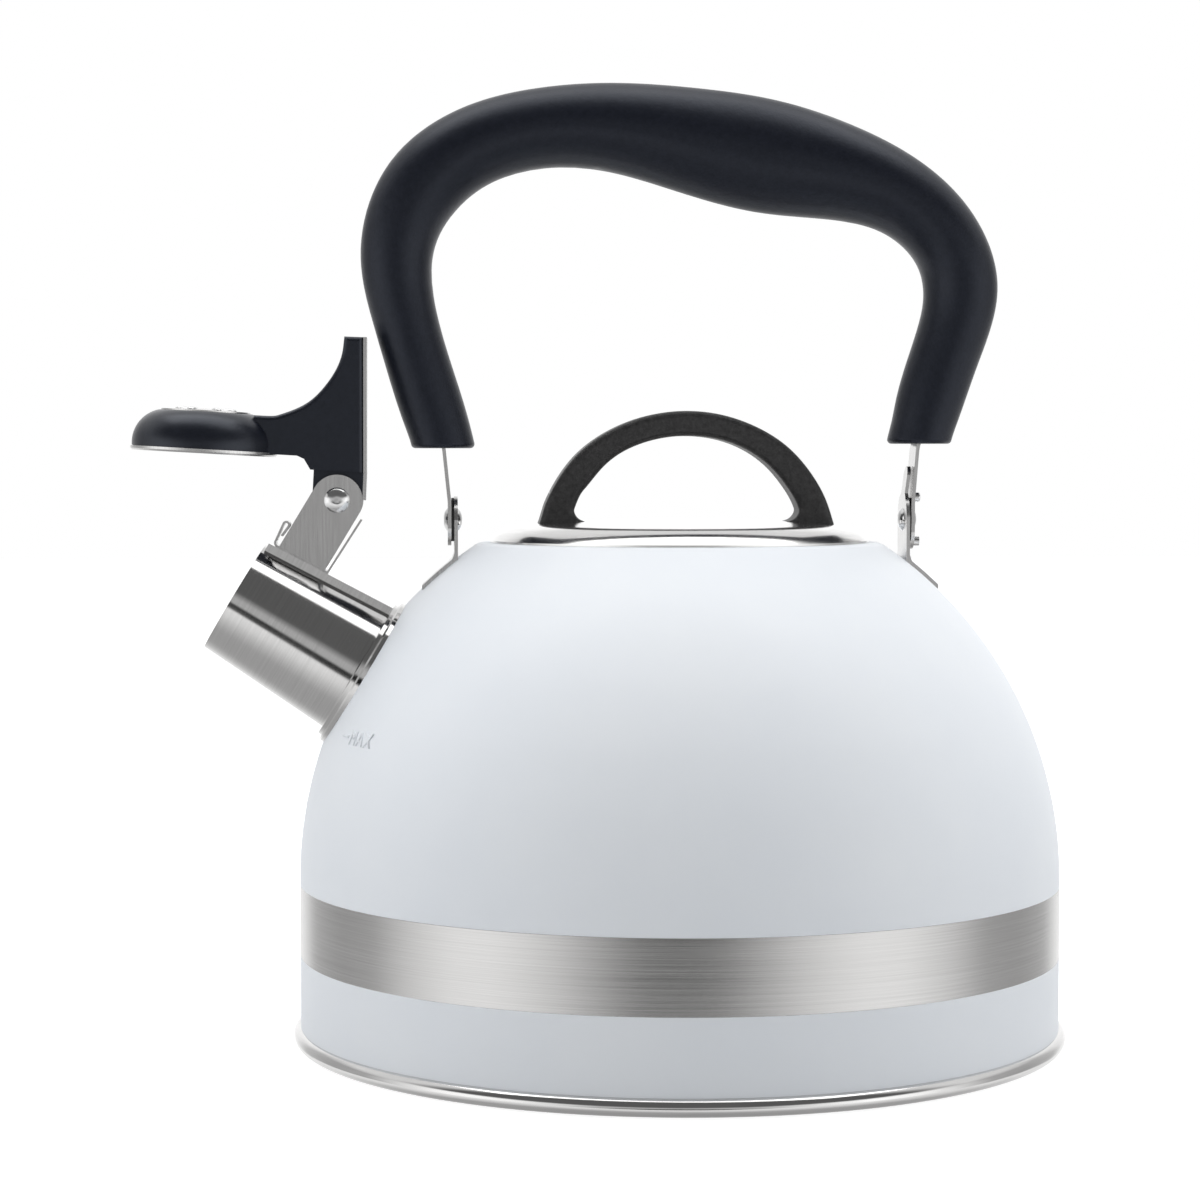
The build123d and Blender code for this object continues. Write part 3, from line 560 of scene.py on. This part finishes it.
# brightness of the tent's walls by the cosine of the angle from its doorway
tentWalls = [
    (-1.0, 1.20),
    (-0.87, 1.00),
    (-0.77, 0.62),
    (-0.50, 0.46),
    (-0.21, 0.50),
    (0.07, 0.98),
    (0.35, 1.36),
    (0.55, 1.40),
    (0.70, 1.22),
    (0.83, 0.92),
    (0.93, 0.46),
    (0.985, 0.06),
    (1.0, 0.0),
]
# the same above the doorway's lintel
tentUpper = tentWalls[:-4] + [(0.85, 0.90), (0.93, 0.62), (1.0, 0.55)]
# and of what lies under the horizon, by the sine of the angle down
tentFloor = [(-1.0, 0.40), (-0.75, 0.48), (-0.45, 0.92), (-0.2, 1.10)]


def buildFloor():
    mesh = bpy.data.meshes.new("floor")
    bm = bmesh.new()
    bmesh.ops.create_grid(bm, x_segments=1, y_segments=1, size=studio["floorSize"] / 2)
    bm.to_mesh(mesh)
    bm.free()
    floor = bpy.data.objects.new("floor", mesh)
    bpy.context.collection.objects.link(floor)
    floor.location.z = cadBox[0][2] - 0.0002
    mat, tree, bsdf, where = startMaterial("paleFloor")
    bsdf.inputs["Base Color"].default_value = studio["floorSeen"]
    bsdf.inputs["Roughness"].default_value = 0.9
    bsdf.inputs["Specular IOR Level"].default_value = 0.0
    bsdf.inputs["Emission Color"].default_value = (1, 1, 1, 1)
    bsdf.inputs["Emission Strength"].default_value = studio["floorGlow"]
    # what the floor throws back at the object is greyer than how it looks itself
    bounce = addNode(tree, "ShaderNodeBsdfDiffuse", (0, -300))
    bounce.inputs["Color"].default_value = studio["floorBounce"]
    path = addNode(tree, "ShaderNodeLightPath", (0, 400))
    mix = addNode(tree, "ShaderNodeMixShader", (300, 0))
    link(tree, path.outputs["Is Camera Ray"], mix.inputs[0])
    link(tree, bounce.outputs[0], mix.inputs[1])
    link(tree, bsdf.outputs[0], mix.inputs[2])
    link(tree, mix.outputs[0], tree.nodes["Material Output"].inputs["Surface"])
    floor.data.materials.append(mat)
    floor.visible_glossy = False  # polished steel shows the tent, not the table


def softbox(name, place, size, power, mirrored=True):
    lamp = bpy.data.lights.new(name, "AREA")
    lamp.shape = "RECTANGLE"
    lamp.size, lamp.size_y = size
    lamp.energy = power
    lampObject = bpy.data.objects.new(name, lamp)
    lampObject.location = place
    aim = Vector(studio["aim"]) - Vector(place)
    lampObject.rotation_euler = aim.to_track_quat("-Z", "Y").to_euler()
    lampObject.visible_glossy = mirrored
    bpy.context.collection.objects.link(lampObject)


def fillStops(band, stops):
    marks = band.color_ramp.elements
    while len(marks) < len(stops):
        marks.new(0.5)
    for mark, (where, light) in zip(marks, stops):
        mark.position = (where + 1) / 2
        shade = light / studio["airStrength"]  # the stops hold 1 at most
        mark.color = (shade, shade, shade, 1)


def buildWorld():
    world = bpy.data.worlds.new("lightTent")
    bpy.context.scene.world = world
    world.use_nodes = True
    tree = world.node_tree
    tree.nodes.clear()
    out = addNode(tree, "ShaderNodeOutputWorld", (900, 0))
    coords = addNode(tree, "ShaderNodeTexCoord", (-900, 0))
    level = addNode(tree, "ShaderNodeVectorMath", (-700, 150), operation="MULTIPLY")
    link(tree, coords.outputs["Generated"], level.inputs[0])
    level.inputs[1].default_value = (1, 1, 0)
    unit = addNode(tree, "ShaderNodeVectorMath", (-500, 150), operation="NORMALIZE")
    link(tree, level.outputs["Vector"], unit.inputs[0])
    front = addNode(tree, "ShaderNodeVectorMath", (-300, 150), operation="DOT_PRODUCT")
    link(tree, unit.outputs["Vector"], front.inputs[0])
    front.inputs[1].default_value = studio["faces"]
    split = addNode(tree, "ShaderNodeSeparateXYZ", (-700, -100))
    link(tree, coords.outputs["Generated"], split.inputs[0])
    walls = addNode(tree, "ShaderNodeValToRGB", (100, 300))
    link(tree, ramp(tree, front.outputs["Value"], (-1, 1), (0, 1), (-100, 150)), walls.inputs["Fac"])
    fillStops(walls, tentWalls)
    ground = addNode(tree, "ShaderNodeValToRGB", (100, 0))
    link(tree, ramp(tree, split.outputs["Z"], (-1, 1), (0, 1), (-100, -100)), ground.inputs["Fac"])
    fillStops(ground, tentFloor)
    upper = addNode(tree, "ShaderNodeValToRGB", (100, 600))
    link(tree, ramp(tree, front.outputs["Value"], (-1, 1), (0, 1), (-100, 450)), upper.inputs["Fac"])
    fillStops(upper, tentUpper)
    lintel = ramp(tree, split.outputs["Z"], studio["lintel"], (0, 1), (100, 800))
    sides = mixColor(tree, lintel, walls.outputs["Color"], upper.outputs["Color"], (250, 500))
    under = ramp(tree, split.outputs["Z"], studio["horizon"], (0, 1), (100, -250))
    lean = maths(tree, "MULTIPLY", front.outputs["Value"], studio["ceilingSlope"], (-100, -600))
    slope = maths(tree, "ADD", split.outputs["Z"], lean, (0, -500))
    over = ramp(tree, slope, studio["ceilingEdge"], (0, 1), (100, -450))
    back, fore = studio["ceilingBack"] / studio["airStrength"], studio["ceilingFront"] / studio["airStrength"]
    along = ramp(tree, front.outputs["Value"], studio["ceilingChange"], (0, 1), (200, -700))
    ceiling = mixColor(tree, along, (back, back, back, 1), (fore, fore, fore, 1), (400, -700))
    lower = mixColor(tree, under, sides, ground.outputs["Color"], (400, 100))
    air = addNode(tree, "ShaderNodeBackground", (700, -100))
    air.inputs["Strength"].default_value = studio["airStrength"]
    link(tree, mixColor(tree, over, lower, ceiling, (550, 0)), air.inputs["Color"])
    seen = addNode(tree, "ShaderNodeBackground", (500, 300))
    seen.inputs["Color"].default_value = (1, 1, 1, 1)
    path = addNode(tree, "ShaderNodeLightPath", (500, 500))
    mix = addNode(tree, "ShaderNodeMixShader", (750, 100))
    link(tree, path.outputs["Is Camera Ray"], mix.inputs[0])
    link(tree, air.outputs[0], mix.inputs[1])
    link(tree, seen.outputs[0], mix.inputs[2])
    link(tree, mix.outputs[0], out.inputs[0])


view = {"place": (-0.0741, -0.8468, 0.167), "aim": (-0.0227, 0, 0.126), "lens": 88.98}


def buildCamera():
    lens = bpy.data.cameras.new("camera")
    lens.lens, lens.sensor_width = view["lens"], 36.0
    lens.clip_start = 0.01
    camera = bpy.data.objects.new("camera", lens)
    camera.location = view["place"]
    aim = Vector(view["aim"]) - Vector(view["place"])
    camera.rotation_euler = aim.to_track_quat("-Z", "Y").to_euler()
    bpy.context.collection.objects.link(camera)
    bpy.context.scene.camera = camera


buildFloor()
buildWorld()
for name, box in softboxes.items():
    softbox(name, **box)
buildCamera()
bpy.context.scene.view_settings.view_transform = "Standard"
print("studio built")
